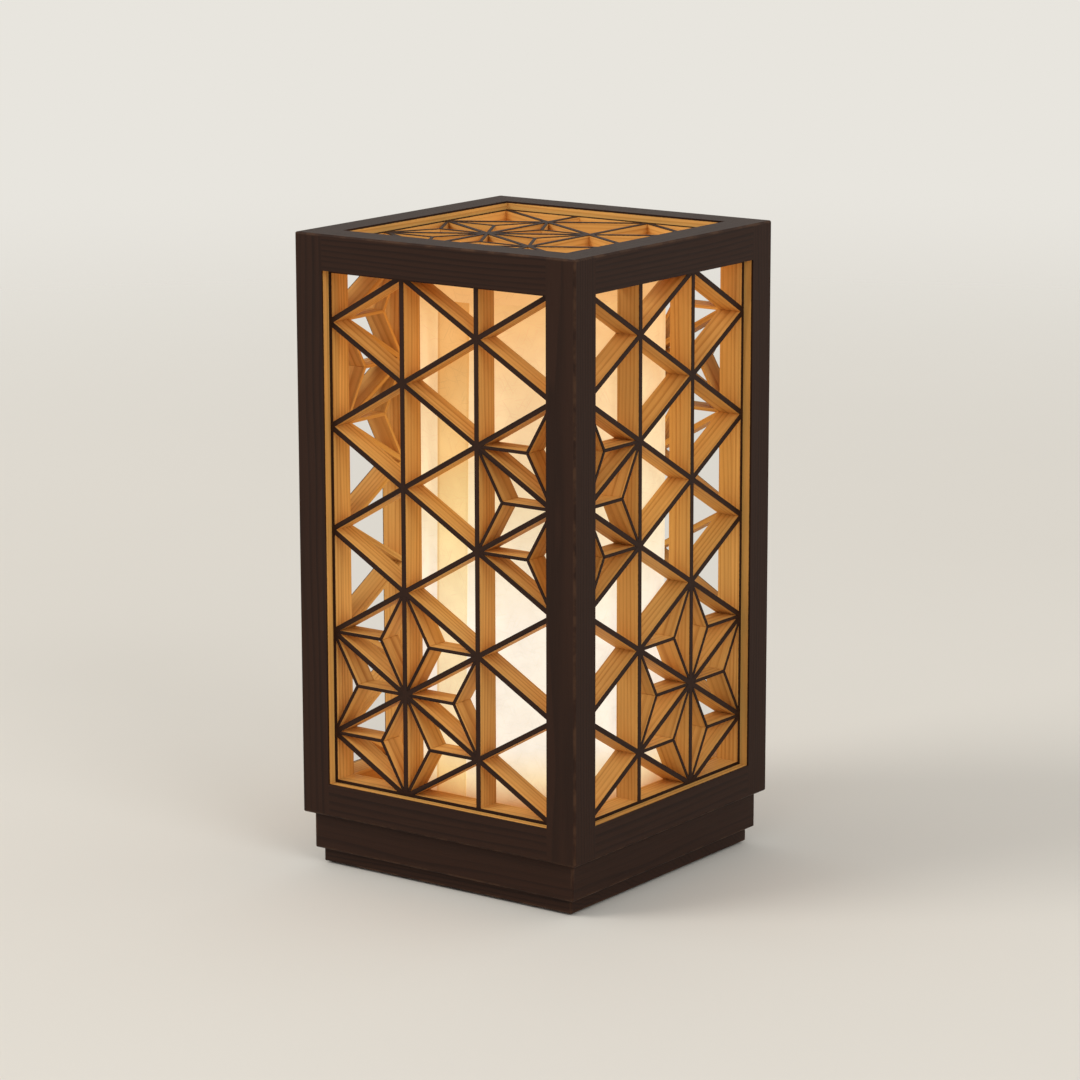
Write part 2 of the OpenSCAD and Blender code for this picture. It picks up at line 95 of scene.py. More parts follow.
def colour_property(name, description, *default):
    return FloatVectorProperty(name=name, description=description, default=screen(*default),
                               size=3, min=0, max=1, subtype="COLOR")


def angle_property(name, description, default):
    return FloatProperty(name=name, description=description, default=radians(default),
                         subtype="ANGLE", unit="ROTATION")


def plain_property(name, description, default, **limits):
    return FloatProperty(name=name, description=description, default=default, **limits)


class LampFinishes(PropertyGroup):
    early_wood: colour_property("Early wood", "Pale wood between the growth lines", 238, 184, 102)
    late_wood: colour_property("Late wood", "Darker wood in the growth lines", 176, 111, 46)
    # Dark colour that paints the shade of the outward faces, which the lamp lights only from behind
    stain: colour_property("Stain", "Stain on the outward faces", 34, 18, 10)
    # Lighter wear in patches along the edges, over the painted shade
    worn_shade: colour_property("Worn stain", "Stain rubbed thin along the edges", 98, 68, 46)
    paper: colour_property("Paper", "The paper itself", 182, 168, 136)
    # Painted shadow of the collar and the holder at the foot of the lit paper
    glow_foot: colour_property("Glow at the foot", "Lit paper behind the collar", 162, 98, 40)
    glow_low: colour_property("Glow above the collar", "Lit paper just above the collar", 226, 206, 164)
    glow_bulb: colour_property("Glow at the bulb", "Lit paper level with the bulb", 224, 223, 214)
    glow_middle: colour_property("Glow at mid height", "Lit paper halfway up", 218, 205, 170)
    glow_top: colour_property("Glow at the top", "Lit paper near its top edge", 217, 165, 100)
    glow_strength: plain_property("Glow", "Strength of the lit paper", 1.0, min=0, max=4)
    filament_strength: plain_property("Filament glow", "Strength of the lit filament", 12.0, min=0)


class LampSizes(PropertyGroup):
    columns: IntProperty(name="Columns", description="Columns of triangles across a side", default=3)
    levels: IntProperty(name="Levels", description="Triangles one above the other in a column", default=5)
    bar_thickness: size_property("Bar thickness", "Thickness of a lattice bar", 2.4)
    ring_spacing: size_property("Ring spacing", "Distance between the wood's growth lines", 2.0)
    leaf_thickness: size_property("Leaf thickness", "Thickness of a leaf", 1.6)
    leaf_arris: size_property("Leaf arris", "Softened edge of a leaf", 0.12)
    glue_line: size_property("Glue line", "Gap between leaves where they meet", 0.05)
    paper_thickness: size_property("Paper thickness", "Thickness of the paper", 0.5)
    lap_width: size_property("Lap width", "Width of the paper's glued lap", 17.5)
    lap_angle: angle_property("Lap angle", "Where the middle of the lap lies", -95)
    lap_lean: angle_property("Lap lean", "Turn of the paper from its foot to its top", 3.4)
    ripple: size_property("Ripple", "How far the paper strays from round", 0.18)
    edge_round: size_property("Edge round", "Rounded edge of the porcelain", 0.5)
    thread_pitch: size_property("Thread pitch", "Pitch of the lamp thread", 2.8)
    thread_depth: size_property("Thread depth", "Depth of the lamp thread", 0.15)
    pad_radius: size_property("Pad radius", "Radius of a felt pad", 6.0)
    pad_fuzz: size_property("Pad fuzz", "Loose fibres round a felt pad", 0.15)
    slot_width: size_property("Slot width", "Width of a screw's cross slot", 0.8)
    slot_depth: size_property("Slot depth", "Depth of a screw's cross slot", 1.1)


class LampStudio(PropertyGroup):
    azimuth: angle_property("Azimuth", "Camera's turn from the lamp's front", 36.11)
    elevation: angle_property("Elevation", "Camera's height over the horizon", 12.347)
    roll: angle_property("Roll", "Camera's tilt", -0.12)
    distance: size_property("Distance", "Camera to the point it looks at", 1874.0)
    aim_height: size_property("Aim height", "Height that the camera looks at", 154.8)
    aim_side: size_property("Aim side", "How far right of the axis the camera looks", 1.88)
    lens: plain_property("Lens", "Focal length over a 36 mm frame", 131.2, min=1, unit="CAMERA")
    floor: colour_property("Floor", "Colour of the floor", 226, 222, 214)
    backdrop: colour_property("Backdrop", "Colour behind the floor", 232, 229, 222)
    daylight: plain_property("Daylight", "Strength of the light from all round", 0.7, min=0)
    key_power: plain_property("Key light", "Power of the light from the left", 110.0, min=0, unit="POWER")
    fill_power: plain_property("Fill light", "Power of the light from the right", 40.0, min=0, unit="POWER")
    floor_radius: size_property("Floor radius", "Where the floor has faded into the backdrop", 2600.0)


def finishes():
    return bpy.context.scene.lamp_finishes


def sizes():
    return bpy.context.scene.lamp_sizes


# Node trees

def node_method(operation, swapped=False):
    """A method of Term that adds the node for one operation."""
    def method(self, *others):
        return calc(operation, *others, self) if swapped else calc(operation, self, *others)
    return method


class Term:
    """A value in a node tree. Arithmetic on it adds the nodes that work the result out."""

    def __init__(self, tree, socket):
        self.tree = tree
        self.socket = socket

    __add__ = node_method("ADD")
    __radd__ = node_method("ADD", swapped=True)
    __sub__ = node_method("SUBTRACT")
    __rsub__ = node_method("SUBTRACT", swapped=True)
    __mul__ = node_method("MULTIPLY")
    __truediv__ = node_method("DIVIDE")
    __pow__ = node_method("POWER")
    __abs__ = node_method("ABSOLUTE")
    __lt__ = node_method("LESS_THAN")
    __gt__ = node_method("GREATER_THAN")
    or_less = node_method("MINIMUM")
    or_more = node_method("MAXIMUM")
    floor = node_method("FLOOR")
    fraction = node_method("FRACT")
    rounded = node_method("ROUND")
    cosine = node_method("COSINE")
    sine = node_method("SINE")
    dot = node_method("DOT_PRODUCT")
    length = node_method("LENGTH")


def tree_of(parts):
    return next(part.tree for part in parts if isinstance(part, Term))


def is_vector(part):
    if isinstance(part, Term):
        return part.socket.type in ("VECTOR", "RGBA")
    return hasattr(part, "__len__")


def calc(operation, *parts):
    """Adds a Math node, or a Vector Math node where a vector or a colour takes part."""
    tree = tree_of(parts)
    vectors = [is_vector(part) for part in parts]
    if operation == "MULTIPLY" and any(vectors) and not all(vectors):
        vector, factor = parts if vectors[0] else parts[::-1]
        return put(tree, "ShaderNodeVectorMath", Vector=vector, Scale=factor, operation="SCALE")
    kind = "ShaderNodeVectorMath" if any(vectors) else "ShaderNodeMath"
    return put(tree, kind, *parts, operation=operation)


def feed(socket, value):
    """Links a term to an input, or sets the input to a plain value."""
    if isinstance(value, Term):
        value.tree.links.new(value.socket, socket)
    else:
        socket.default_value = (*value[:3], 1.0) if socket.type == "RGBA" else value


def fill(node, **values):
    """Feeds a node's inputs by name, with _ for a space."""
    for key, value in values.items():
        name = key.replace("_", " ")
        feed(next(socket for socket in node.inputs if socket.enabled and socket.name == name), value)


def add_node(tree, kind, *values, **details):
    """Adds a node. The values feed its inputs in order.

    A detail whose name starts with a capital feeds the input of that name, and any other is a setting.
    """
    node = tree.nodes.new(kind)
    for key, value in details.items():
        if key[0].islower():
            setattr(node, key, value)
    for socket, value in zip([socket for socket in node.inputs if socket.enabled], values):
        feed(socket, value)
    fill(node, **{key: value for key, value in details.items() if key[0].isupper()})
    return node


def result(node, name=None):
    """A node's output by name, or else the first that it has in use."""
    socket = node.outputs[name] if name else next(socket for socket in node.outputs if socket.enabled)
    return Term(node.id_data, socket)


def put(tree, kind, *values, **details):
    return result(add_node(tree, kind, *values, **details))


def combine(*parts):
    return put(tree_of(parts), "ShaderNodeCombineXYZ", *parts)


def split(vector):
    node = add_node(vector.tree, "ShaderNodeSeparateXYZ", vector)
    return [result(node, axis) for axis in "XYZ"]


def noise(vector, scale=1.0, detail=2.0, roughness=0.5):
    return put(vector.tree, "ShaderNodeTexNoise", Vector=vector, Scale=scale, Detail=detail,
               Roughness=roughness)


def blend(share, first, second, kind="RGBA"):
    return put(share.tree, "ShaderNodeMix", share, first, second, data_type=kind)


def ramp_between(value, low, high, to_low=0.0, to_high=1.0, smooth=True):
    """Value from low to high turned into to_low to to_high, and held there beyond them."""
    return put(value.tree, "ShaderNodeMapRange", value, low, high, to_low, to_high,
               interpolation_type="SMOOTHSTEP" if smooth else "LINEAR")


def object_place(tree):
    return result(tree.nodes.new("ShaderNodeTexCoord"), "Object")


def new_group(name, kind, inputs, outputs):
    """Starts a node group, and returns it with the terms of its inputs and the node that ends it."""
    group = bpy.data.node_groups.new(name, kind)
    for side, sockets in (("INPUT", inputs), ("OUTPUT", outputs)):
        for label, socket_type in sockets.items():
            group.interface.new_socket(label, in_out=side, socket_type="NodeSocket" + socket_type)
    start = group.nodes.new("NodeGroupInput")
    return group, {label: result(start, label) for label in inputs}, group.nodes.new("NodeGroupOutput")


# Materials

def new_material(name, colour, **constants):
    """A material with a Principled shader, whose constants are set on its own sockets."""
    material = bpy.data.materials.new(name)
    material.use_nodes = True
    material.diffuse_color = (*colour, 1.0)
    shader = material.node_tree.nodes["Principled BSDF"]
    fill(shader, Base_Color=colour, **constants)
    return material, shader, object_place(material.node_tree)


def bump(height, distance, strength=1.0):
    return put(height.tree, "ShaderNodeBump", Strength=strength, Distance=distance, Height=height)


def growth_rings(place, spacing):
    """Growth lines round a heart that lies beside the board: pale, then darker, then sharply pale again."""
    slow_warp = noise(place * (14, 14, 3)) * (12 * MM)
    quick_warp = noise(place * (160, 160, 9), detail=1.0) * (2.4 * MM)
    count = ((place * (1, 1, 0)).length() + slow_warp + quick_warp) / spacing
    share = count.fraction()
    line = ramp_between(share, 0.35, 0.88) * ramp_between(share, 0.88, 1.0, 1.0, 0.0)
    year = put(place.tree, "ShaderNodeTexWhiteNoise", W=count.floor(), noise_dimensions="1D")
    return line * (0.25 + year * 0.75)


def wood_group():
    """Straight-grained softwood, bare or darkened with painted shade. Grain is a place in metres whose z runs
    along the grain.
    """
    if "softwood" in bpy.data.node_groups:
        return bpy.data.node_groups["softwood"]
    group, given, out = new_group(
        "softwood", "ShaderNodeTree", {"Grain": "Vector", "Tone": "Float", "Stain": "Float", "Wear": "Float"},
        {"Colour": "Color", "Roughness": "Float", "Height": "Float"})
    look = finishes()
    tone, stain = given["Tone"], given["Stain"]
    # Each board is cut from its own place in the tree
    place = given["Grain"] + combine(0.05 + tone * 0.21, 0.09 + tone * 0.37, tone * 1.9)
    rings = growth_rings(place, sizes().ring_spacing)
    fibres = noise(place * (3200, 3200, 70), detail=3.0, roughness=0.6)
    cloud = noise(place * (45, 45, 9))
    mixed = rings * 0.5 + fibres * 0.42
    shade = ramp_between(tone, 0.0, 1.0, 0.86, 1.04, smooth=False) * ramp_between(cloud, 0.3, 0.7, 0.9, 1.05)
    bare = blend(mixed, look.early_wood, look.late_wood) * shade
    # Painted shade: the dark colour, lighter in the pale wood and darker in the growth lines
    shaded_grain = (2.0 + mixed * -1.5) * tuple(look.stain)
    rubbed = blend(given["Wear"], shaded_grain, look.worn_shade)
    fill(out, Colour=blend(stain, bare, rubbed), Roughness=0.58 + fibres * 0.18 - stain * 0.1,
         Height=fibres + rings * 0.6)
    return group


def shade_group():
    """Painted shade on outward faces: beyond a distance off the lamp's axis, above a top and below a foot."""
    if "outward_painted_shade" in bpy.data.node_groups:
        return bpy.data.node_groups["outward_painted_shade"]
    group, given, out = new_group(
        "outward_painted_shade", "ShaderNodeTree", {"Face": "Float", "Top": "Float", "Foot": "Float"},
        {"Stain": "Float"})
    place = object_place(group)
    spread = (noise(place, 900.0) - 0.5) * (0.3 * MM)
    x, y, z = split(abs(place))
    height = z + spread
    past_edges = (x.or_more(y) + spread - given["Face"], height - given["Top"], given["Foot"] - height)
    sides, above, below = (ramp_between(past, -0.15 * MM, 0.05 * MM) for past in past_edges)
    fill(out, Stain=sides.or_more(above).or_more(below))
    return group


def outward_painted_shade(face, top, foot=0.0):
    """Painted shade beyond a distance from the axis, above a top and below a foot, for wood_material."""
    def lay(place):
        return put(place.tree, "ShaderNodeGroup", face, top, foot, node_tree=shade_group())
    return lay


def edge_painted_shade():
    """Painted shade on the front edges of the lattice, for wood_material."""
    spread = 0.3 * MM
    return outward_painted_shade(PANEL_FACE - spread, TOP_PANEL_HIGH - spread)


def edge_wear(face, low, high):
    """Wear in patches along the edges of a square block, where two faces are near, for wood_material."""
    def lay(place):
        x, y, _ = split(abs(place))
        z = split(place)[2]
        from_x, from_y = face - x, face - y
        from_z = (high - z).or_less(z - low)
        nearest_side = from_x.or_less(from_y)
        next_face = from_x.or_more(from_y).or_less(from_z)
        patches = ramp_between(noise(place, 75.0, 4.0, 0.65), 0.42, 0.62)
        near = ramp_between(nearest_side.or_more(next_face), 0.4 * MM, 1.5 * MM, 1.0, 0.0)
        return near * patches * 0.38
    return lay


def board_place(place, along, outward):
    """The place on a board in its own directions: across it, through it and along the grain."""
    turn = Matrix((outward.cross(along), outward, along)).transposed().to_euler()
    return put(place.tree, "ShaderNodeMapping", Vector=place, Rotation=turn, vector_type="TEXTURE")


def board_tone(place, cell, phase):
    """A tone from 0 to 1 for each board, told apart by the cell of space that it lies in."""
    return put(place.tree, "ShaderNodeTexWhiteNoise", (place / cell + phase).floor(), noise_dimensions="3D")


def straight_grain(along, outward, cell=(1, 1, 1000), phase=(0, 0, 0.5)):
    """Grain along one direction, for wood_material. One board fills one cell."""
    def lay(place):
        board = board_place(place, along, outward)
        return board, board_tone(board, cell, phase)
    return lay


def wood_material(name, lay_grain, stain, wear=None):
    """Softwood. lay_grain turns the place into the place along the grain and the board's tone.

    stain is a number or a function of the place that gives the share of painted shade, and wear is such a
    function where there is any.
    """
    material, shader, place = new_material(name, finishes().early_wood, Specular_IOR_Level=0.14)
    grain, tone = lay_grain(place)
    wood = add_node(place.tree, "ShaderNodeGroup", grain, tone, stain(place) if callable(stain) else stain,
                    wear(place) if wear else 0.0, node_tree=wood_group())
    fill(shader, Base_Color=result(wood, "Colour"), Roughness=result(wood, "Roughness"),
         Normal=bump(result(wood, "Height"), 0.05 * MM, 0.6))
    return material


def dress(node_name, material):
    """Gives a CAD node a material in place of its own."""
    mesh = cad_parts[node_name].data
    mesh.materials.clear()
    mesh.materials.append(material)


# Meshes

def add_object(name, data):
    data.name = name
    made = bpy.data.objects.new(name, data)
    bpy.context.scene.collection.objects.link(made)
    return made


def new_piece(name, mesh, body, replaced, material=None):
    """An object at the origin that rides on a body, takes the finish where one is given and stands for a CAD
    node.
    """
    if material:
        mesh.materials.append(material)
    piece = add_object(name, mesh)
    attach(piece, body)
    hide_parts(replaced)
    return piece


def turned_mesh(profile, steps=96, closed=True):
    """A shape turned round the z axis from (radius, height) points, anticlockwise with z up."""
    verts, rings, faces = [], [], []
    for radius, height in profile:
        # A point on the axis needs one vertex and not a ring
        count = steps if radius else 1
        rings.append(range(len(verts), len(verts) + count))
        turns = [2 * pi * i / steps for i in range(count)]
        verts += [(radius * cos(turn), radius * sin(turn), height) for turn in turns]
    for lower, upper in zip(rings, rings[1:] + rings[:1] if closed else rings[1:]):
        for i in range(steps):
            corners = ((lower, i), (lower, i + 1), (upper, i + 1), (upper, i))
            face = tuple(dict.fromkeys(ring[place % len(ring)] for ring, place in corners))
            if len(face) > 2:
                faces.append(face)
    mesh = bpy.data.meshes.new("turned")
    mesh.from_pydata(verts, [], faces)
    mesh.validate()
    mesh.shade_smooth()
    mesh.set_sharp_from_angle(angle=radians(35))
    return mesh


def soften(piece, width, segments=2):
    """Rounds the sharp edges of a piece."""
    bevel = piece.modifiers.new("edges", "BEVEL")
    bevel.width = width
    bevel.segments = segments
    bevel.limit_method = "ANGLE"
    bevel.angle_limit = radians(40)


# Geometry Nodes trees

def new_tree(name, *lengths):
    """Starts a Geometry Nodes tree that takes points, some lengths, a seed and a finish."""
    inputs = {"Geometry": "Geometry", **dict.fromkeys(lengths, "Float"), "Seed": "Int", "Finish": "Material"}
    return new_group(name, "GeometryNodeTree", inputs, {"Geometry": "Geometry"})


def end_tree(geometry, given, out):
    """Ends a tree: its instances become plain mesh, which takes the finish."""
    tree = geometry.tree
    plain = put(tree, "GeometryNodeRealizeInstances", geometry)
    fill(out, Geometry=put(tree, "GeometryNodeSetMaterial", Geometry=plain, Material=given["Finish"]))
    return tree


def point_place(tree):
    return put(tree, "GeometryNodeInputPosition")


def move_to(geometry, place):
    return put(geometry.tree, "GeometryNodeSetPosition", Geometry=geometry, Position=place)


def store(geometry, name, value, data_type="FLOAT", domain="POINT"):
    """Keeps a value on the geometry under a name."""
    return put(geometry.tree, "GeometryNodeStoreNamedAttribute", Geometry=geometry, Name=name, Value=value,
               data_type=data_type, domain=domain)


def random_value(seed, high=1.0):
    return put(seed.tree, "FunctionNodeRandomValue", Min=0.0, Max=high, Seed=seed, data_type="FLOAT")


def instances(points, piece, turn=None):
    """The piece on each point, turned about z where a turn is given."""
    turned = {"Rotation": combine(0.0, 0.0, turn)} if turn else {}
    return put(points.tree, "GeometryNodeInstanceOnPoints", Points=points, Instance=piece, **turned)


def grow(points, tree, given):
    """Runs a Geometry Nodes tree on loose points and returns the plain mesh that it gives."""
    seed_mesh = bpy.data.meshes.new("seed")
    seed_mesh.from_pydata(points, [], [])
    seed = add_object("seed", seed_mesh)
    modifier = seed.modifiers.new("tree", "NODES")
    modifier.node_group = tree
    for item in tree.interface.items_tree:
        if item.in_out == "INPUT" and item.name in given:
            modifier[item.identifier] = given[item.name]
    seen = bpy.context.evaluated_depsgraph_get()
    mesh = bpy.data.meshes.new_from_object(seed.evaluated_get(seen), preserve_all_data_layers=True,
                                           depsgraph=seen)
    seed.modifiers.remove(modifier)
    bpy.data.objects.remove(seed)
    bpy.data.meshes.remove(seed_mesh)
    if not mesh.polygons:
        raise RuntimeError(f"the tree {tree.name} gave no faces")
    return mesh


# The lantern's wood

class FinishFrame(Operator):
    """Gives the posts and rails their wood: painted shade on the outward faces, bare in the openings and
    inside
    """
    bl_idname = "kumiko_lamp.finish_frame"
    bl_label = "Finish the posts and rails"

    def execute(self, context):
        # The painted shade reaches over the chamfers
        spread = 0.9 * MM
        stain = outward_painted_shade(FRAME_FACE - spread, FRAME_TOP - spread, FRAME_FOOT + spread)
        wear = edge_wear(FRAME_FACE, FRAME_FOOT, FRAME_TOP)
        post = wood_material("shaded_post_wood", straight_grain(UP, FRONT), stain, wear)
        for corner in ("front_left", "front_right", "back_right", "back_left"):
            dress(f"{corner}_post", post)
        # A cell this high tells a top rail from a bottom one
        half_height = (FRAME_TOP + OPENING_LOW) / 2
        for side, degrees in SIDES.items():
            turn = Matrix.Rotation(radians(degrees), 3, "Z")
            grain = straight_grain(turn @ ACROSS, turn @ FRONT, (half_height, 1, 1000))
            rail = wood_material(f"shaded_{side}_rail_wood", grain, stain, wear)
            dress(f"{side}_top_rail", rail)
            dress(f"{side}_bottom_rail", rail)
        return {"FINISHED"}


def bar_direction(node_name, outward):
    """The direction in the panel's plane in which a node's bars run, from the longest edge of its mesh."""
    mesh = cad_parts[node_name].data
    runs = [mesh.vertices[edge.vertices[1]].co - mesh.vertices[edge.vertices[0]].co for edge in mesh.edges]
    longest = max(runs, key=lambda run: run.length).normalized()
    return (longest - outward * longest.dot(outward)).normalized()


def strip_grain(outward, across, along):
    """The strips at the two ends across the panel run one way, and the other two the other way."""
    end_strips_start = OPENING_HALF - 1.6 * MM

    def lay(place):
        upright = board_place(place, along, outward)
        level = board_place(place, across, outward)
        at_end = abs(place.dot(tuple(across))) > end_strips_start
        tone = board_tone(place, cell=(0.14, 0.14, 0.14), phase=(0.5, 0.5, 0.5))
        return blend(at_end, level, upright, "VECTOR"), tone
    return lay


class FinishLattice(Operator):
    """Gives the lattice bars and strips bare wood with the grain along each bar, and painted shade on their
    front edges
    """
    bl_idname = "kumiko_lamp.finish_lattice"
    bl_label = "Finish the lattice"

    def execute(self, context):
        column = 2 * OPENING_HALF / sizes().columns
        stain = edge_painted_shade()
        panels = {side: Matrix.Rotation(radians(turn), 3, "Z") @ FRONT for side, turn in SIDES.items()}
        families = [(f"{side}_{family}", outward) for side, outward in panels.items()
                    for family in ("uprights", "rising_bars", "falling_bars")]
        families += [(f"top_{family}", UP) for family in ("straight_bars", "rising_bars", "falling_bars")]
        for node, outward in families:
            along = bar_direction(node, outward)
            # Half a cell off a bar's own line keeps each bar whole in its cell
            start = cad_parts[node].data.vertices[0].co.dot(outward.cross(along)) / column
            grain = straight_grain(along, outward, (column, 1000, 1000), (0.5 - start, 0.5, 0.5))
            dress(node, wood_material(f"bare_wood_of_{node}", grain, stain))
        strips = {side: (outward, outward.cross(UP), UP) for side, outward in panels.items()}
        strips["top"] = (UP, ACROSS, DEEP)
        for side, ways in strips.items():
            wood = wood_material(f"bare_wood_of_{side}_strips", strip_grain(*ways), stain)
            dress(f"{side}_panel_strips", wood)
        return {"FINISHED"}


# The hemp leaves

def one_leaf(tree, given, tip):
    """One leaf: a block of four columns, drawn out to the leaf's outline and pinched shut at both ends."""
    half = given["Leaf Thickness"] / 2.0
    heel = given["Glue Line"] + half / tan(radians(60))
    shoulder = tip - half / tan(radians(30))
    block = put(tree, "GeometryNodeMeshCube", Size=(1, 1, 1), Vertices_X=4, Vertices_Y=2, Vertices_Z=2)
    x, y, z = split(point_place(tree))
    choose = tree.nodes.new("GeometryNodeIndexSwitch")
    choose.data_type = "FLOAT"
    for _ in range(2):
        choose.index_switch_items.new()
    column = ((x + 0.5) * 3.0).rounded()
    for socket, value in zip(choose.inputs, (column, given["Glue Line"], heel, shoulder, tip)):
        feed(socket, value)
    thickness = y * given["Leaf Thickness"] * (abs(x) < 0.4)
    leaf = move_to(block, combine(result(choose), thickness, (z + 0.5) * given["Panel Depth"]))
    leaf = put(tree, "GeometryNodeMergeByDistance", Geometry=leaf, Distance=0.001 * MM)
    x, y, z = split(point_place(tree))
    return store(leaf, "UVMap", combine(x, z + y, 0.0), "FLOAT2", "CORNER")


def leaf_tree():
    """Hemp leaf stars: six triangles round each point, and in each three leaves that meet in its middle."""
    tree, given, out = new_tree("hemp_leaf_stars", "Pitch", "Bar Thickness", "Leaf Thickness", "Panel Depth",
                                "Glue Line", "Clear Width")
    centre = given["Pitch"] / sqrt(3)
    index = put(tree, "GeometryNodeInputIndex")
    turn = index * radians(60)
    ring = combine(centre * turn.cosine(), centre * turn.sine(), 0.0)
    triangles = store(put(tree, "GeometryNodePoints", Count=6, Position=ring), "turn", turn)
    stars = put(tree, "GeometryNodeRealizeInstances", instances(given["Geometry"], triangles))
    # Triangles whose middle lies beyond the panel's strips are left out, which makes a half star
    beyond = abs(split(point_place(tree))[0]) > given["Clear Width"] / 2.0
    stars = put(tree, "GeometryNodeDeleteGeometry", Geometry=stars, Selection=beyond, domain="POINT")
    trio = store(put(tree, "GeometryNodePoints", Count=3), "spin", index * radians(120) + radians(60))
    stars = put(tree, "GeometryNodeRealizeInstances", instances(stars, trio))
    turn, spin = (put(tree, "GeometryNodeInputNamedAttribute", name, data_type="FLOAT")
                  for name in ("turn", "spin"))
    leaves = instances(stars, one_leaf(tree, given, centre - given["Bar Thickness"]), turn + spin)
    leaves = store(leaves, "leaf_tone", random_value(given["Seed"]), domain="INSTANCE")
    return end_tree(leaves, given, out)


def leaf_grain(place):
    """Grain along each leaf, from the leaf's own map, with each leaf's tone."""
    length, depth, _ = split(put(place.tree, "ShaderNodeUVMap"))
    tone = result(add_node(place.tree, "ShaderNodeAttribute", attribute_name="leaf_tone"), "Fac")
    return combine(depth, 0.0, length), tone


class MakeLeaves(Operator):
    """Makes the hemp leaf stars of the four sides and the top"""
    bl_idname = "kumiko_lamp.make_leaves"
    bl_label = "Make the hemp leaves"

    def execute(self, context):
        size = sizes()
        tree = leaf_tree()
        finish = wood_material("bare_leaf_wood", leaf_grain, edge_painted_shade())

        def add_leaves(side, stars, mirror, panel, place):
            """Grows a panel's leaves. A star is a column and a level, counted down from the panel's top."""
            half_width, half_height, depth = panel
            column = 2 * half_width / size.columns
            pitch = column / sin(radians(60))
            points = [(mirror * (star * column - half_width), half_height - level * pitch, 0)
                      for star, level in stars]
            mesh = grow(points, tree, {
                "Pitch": pitch, "Panel Depth": depth, "Clear Width": 2 * half_width,
                "Bar Thickness": size.bar_thickness, "Leaf Thickness": size.leaf_thickness,
                "Glue Line": size.glue_line, "Seed": [*SIDES, "top"].index(side), "Finish": finish})
            mesh.transform(place)
            piece = new_piece(f"{side}_hemp_leaves", mesh, "lantern", f"{side}_leaves")
            soften(piece, size.leaf_arris, 1)

        low_stars = [(1, size.levels - 1), (size.columns, 2)]
        high_stars = [(1, 1), (size.columns, size.levels - 2)]
        side_panel = (OPENING_HALF, (OPENING_HIGH - OPENING_LOW) / 2, PANEL_FACE - PANEL_BACK)
        middle = Matrix.Translation((0, -PANEL_BACK, (OPENING_LOW + OPENING_HIGH) / 2))
        for side, degrees in SIDES.items():
            # The right and left panels are drawn as mirror images, so that the lines meet at the posts
            mirror = -1 if degrees % 180 else 1
            stars = low_stars if side in ("front", "right") else high_stars
            turn = Matrix.Rotation(radians(degrees), 4, "Z")
            add_leaves(side, stars, mirror, side_panel, turn @ middle @ Matrix.Rotation(radians(90), 4, "X"))
        top_panel = (TOP_PANEL_HALF, TOP_PANEL_HALF, TOP_PANEL_HIGH - TOP_PANEL_LOW)
        add_leaves("top", [(1, 1.5)], 1, top_panel, Matrix.Translation((0, 0, TOP_PANEL_LOW)))
        return {"FINISHED"}


# The paper tube

def paper_tree():
    """One sheet of paper rolled into a tube, its end glued over its beginning."""
    tree, given, out = new_tree("rolled_paper", "Radius", "Height", "Foot", "Paper Thickness", "Lap Width",
                                "Lap Angle", "Lap Lean", "Ripple")
    sheet = put(tree, "GeometryNodeMeshGrid", 1.0, 1.0, 217, 33)
    x, y, _ = split(point_place(tree))
    up_share = y + 0.5
    lap_turn = given["Lap Width"] / given["Radius"]
    rolled = (x + 0.5) * (lap_turn + 2 * pi)
    angle = given["Lap Angle"] - lap_turn / 2.0 + up_share * given["Lap Lean"] + rolled
    cosine, sine = angle.cosine(), angle.sine()
    height = up_share * given["Height"]
    over = ramp_between(rolled, 2 * pi - 0.07, 2 * pi - 0.01)
    wave = put(tree, "ShaderNodeTexNoise", Vector=combine(cosine, sine, height * 9.0), W=given["Seed"],
               Scale=2.2, Detail=2.0, noise_dimensions="4D")
    radius = given["Radius"] + (wave - 0.5) * (given["Ripple"] * 2.0) + over * given["Paper Thickness"]
    mapped = store(sheet, "UVMap", combine(rolled * given["Radius"], height, 0.0), "FLOAT2", "CORNER")
    tube = move_to(mapped, combine(radius * cosine, radius * sine, given["Foot"] + height))
    return end_tree(put(tree, "GeometryNodeSetShadeSmooth", tube), given, out)


def paper_fibres(sheet):
    """Long fibres in the paper, laid in four directions and slightly curled."""
    curl = result(add_node(sheet.tree, "ShaderNodeTexNoise", Vector=sheet, Scale=70.0), "Color")
    bent = sheet + curl * (4 * MM)
    strand_size = (14 * MM, 0.55 * MM, 1)
    strands = []
    for degrees, shift in ((14, 0.0), (66, 0.31), (118, 0.73), (163, 1.29)):
        laid = put(sheet.tree, "ShaderNodeMapping", Vector=bent, Location=(shift, shift, 0),
                   Rotation=(0, 0, radians(degrees)), Scale=strand_size, vector_type="TEXTURE")
        strands.append(ramp_between(noise(laid, 1.0, 1.0, 0.4), 0.64, 0.72))
    fibres = strands[0]
    for strand in strands[1:]:
        fibres = fibres.or_more(strand)
    return fibres


def paper_glow(share):
    """The light of the paper by its height: brown in the painted shadow of the collar and holder at the foot,
    near white by the bulb, amber above.
    """
    look = finishes()
    ramp = add_node(share.tree, "ShaderNodeValToRGB", share)
    stops = ((0.03, look.glow_foot), (0.085, look.glow_low), (0.15, look.glow_bulb), (0.38, look.glow_bulb),
             (0.6, look.glow_middle), (1.0, look.glow_top))
    elements = ramp.color_ramp.elements
    while len(elements) < len(stops):
        elements.new(0.5)
    for element, (position, colour) in zip(elements, stops):
        element.position = position
        element.color = (*colour, 1.0)
    return result(ramp)


